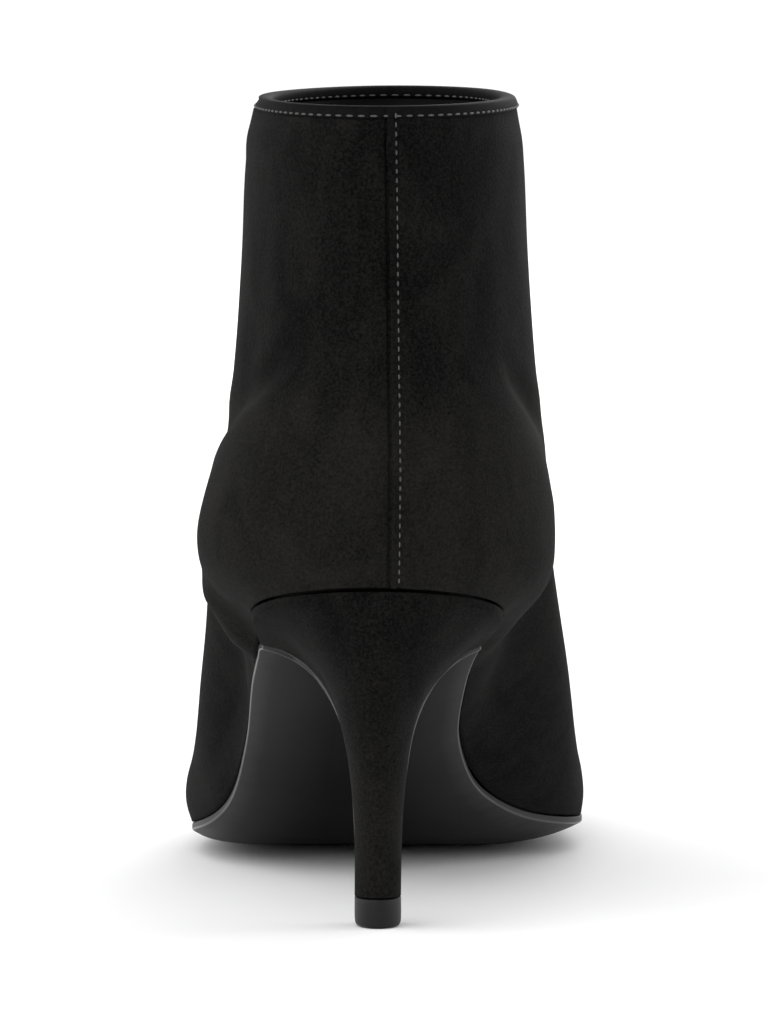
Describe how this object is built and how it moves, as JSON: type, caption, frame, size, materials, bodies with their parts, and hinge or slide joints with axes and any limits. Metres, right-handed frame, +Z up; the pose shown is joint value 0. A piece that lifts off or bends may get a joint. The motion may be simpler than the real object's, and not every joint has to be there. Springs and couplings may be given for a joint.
{
  "type": "suede ankle boot",
  "caption": "Left ankle boot of black suede with a lapped back seam, a bound level collar, an almond toe, a thin leather sole and a slim curved covered heel on a plastic tip.",
  "frame": {"origin": "on the floor, in the middle of the boot's footprint", "axes": "+Z up, +Y from heel to toe, +X to the inner side of the left foot"},
  "size_m": [0.0784, 0.2448, 0.153],
  "materials": {
    "suede": "matt napped suede",
    "smooth_leather": "satin",
    "insole_board": "matt",
    "sole_leather": "satin, burnished edge",
    "tip_plastic": "satin"
  },
  "bodies": {
    "root": {"upper": "suede", "collar_binding": "smooth_leather", "insole": "insole_board", "outsole": "sole_leather", "heel": "suede", "heel_tip": "tip_plastic"}
  },
  "joints": []
}
